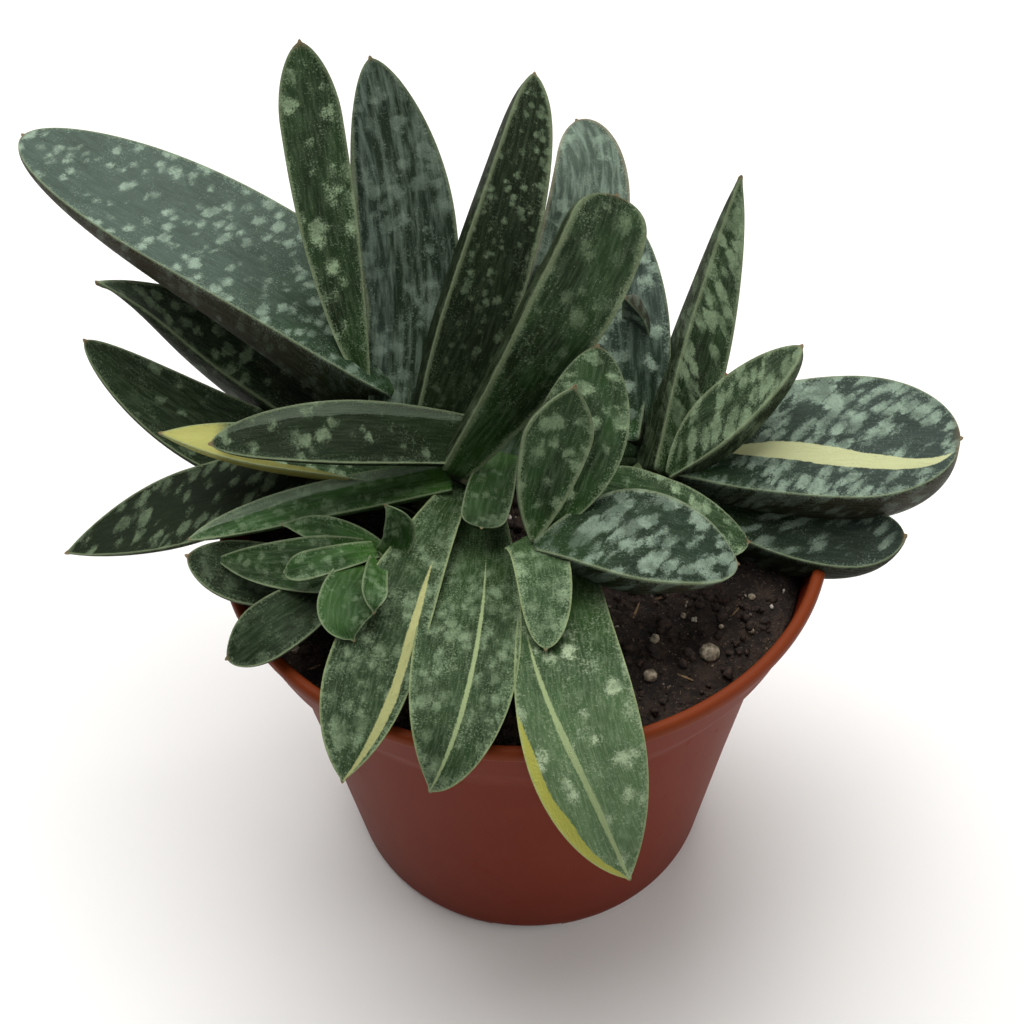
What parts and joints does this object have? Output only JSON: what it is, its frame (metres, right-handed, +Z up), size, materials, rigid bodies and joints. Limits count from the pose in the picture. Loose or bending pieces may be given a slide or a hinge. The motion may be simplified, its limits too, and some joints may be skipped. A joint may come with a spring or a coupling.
{
  "type": "potted gasteria",
  "caption": "Clump of thick tongue-shaped mottled leaves growing from short stems, standing in a round tapered nursery pot of soil.",
  "frame": {"origin": "middle of the pot's flat underside, on the surface it stands on", "axes": "+Z up through the pot's middle; -Y is the front, where leaves hang over the rim"},
  "size_m": [0.1835, 0.142, 0.164],
  "materials": {
    "pot_plastic": "satin red-brown moulded plastic",
    "potting_soil": "loose dark peat with pale grit",
    "stem_green": "smooth green stem",
    "leaf_dark": "waxy dark green with pale flecks",
    "leaf_grey": "grey-green bloom with pale blotches",
    "leaf_striped": "dark green with a yellow stripe"
  },
  "bodies": {
    "root": {"pot": "pot_plastic", "soil": "potting_soil", "stem_main": "stem_green", "stem_right": "stem_green", "stem_centre": "stem_green", "stem_pup": "stem_green", "leaf_top_long": "leaf_dark", "leaf_left_upper": "leaf_dark", "leaf_front_short": "leaf_dark", "leaf_centre_upright": "leaf_dark", "leaf_centre_short": "leaf_dark", "leaf_centre_striped": "leaf_grey", "pup_leaf_bright": "leaf_dark", "pup_leaf_folded": "leaf_dark", "pup_leaf_up": "leaf_dark", "pup_leaf_front": "leaf_dark", "leaf_left_long": "leaf_dark", "leaf_front_left": "leaf_striped", "leaf_back_upright": "leaf_dark", "leaf_left_upright": "leaf_dark", "leaf_grey_upright": "leaf_grey", "leaf_right_banded": "leaf_dark", "leaf_right_upright": "leaf_dark", "leaf_right_broad": "leaf_striped", "leaf_centre_back": "leaf_dark", "leaf_centre_low": "leaf_dark", "leaf_back_slim": "leaf_grey", "leaf_front_middle": "leaf_dark", "leaf_front_right": "leaf_striped", "leaf_left_yellow": "leaf_striped", "leaf_back_left": "leaf_grey", "leaf_back_grey": "leaf_grey", "leaf_back_round": "leaf_grey", "leaf_left_high": "leaf_dark", "leaf_left_middle": "leaf_dark", "leaf_left_low": "leaf_dark", "pup_leaf_thin": "leaf_dark", "pup_leaf_left": "leaf_dark", "pup_leaf_side": "leaf_dark", "pup_leaf_low": "leaf_dark", "leaf_right_low": "leaf_grey", "leaf_rear_left": "leaf_dark", "leaf_rear_middle": "leaf_dark", "leaf_rear_right": "leaf_dark", "leaf_rear_low_right": "leaf_dark", "leaf_rear_low_left": "leaf_dark"}
  },
  "joints": []
}
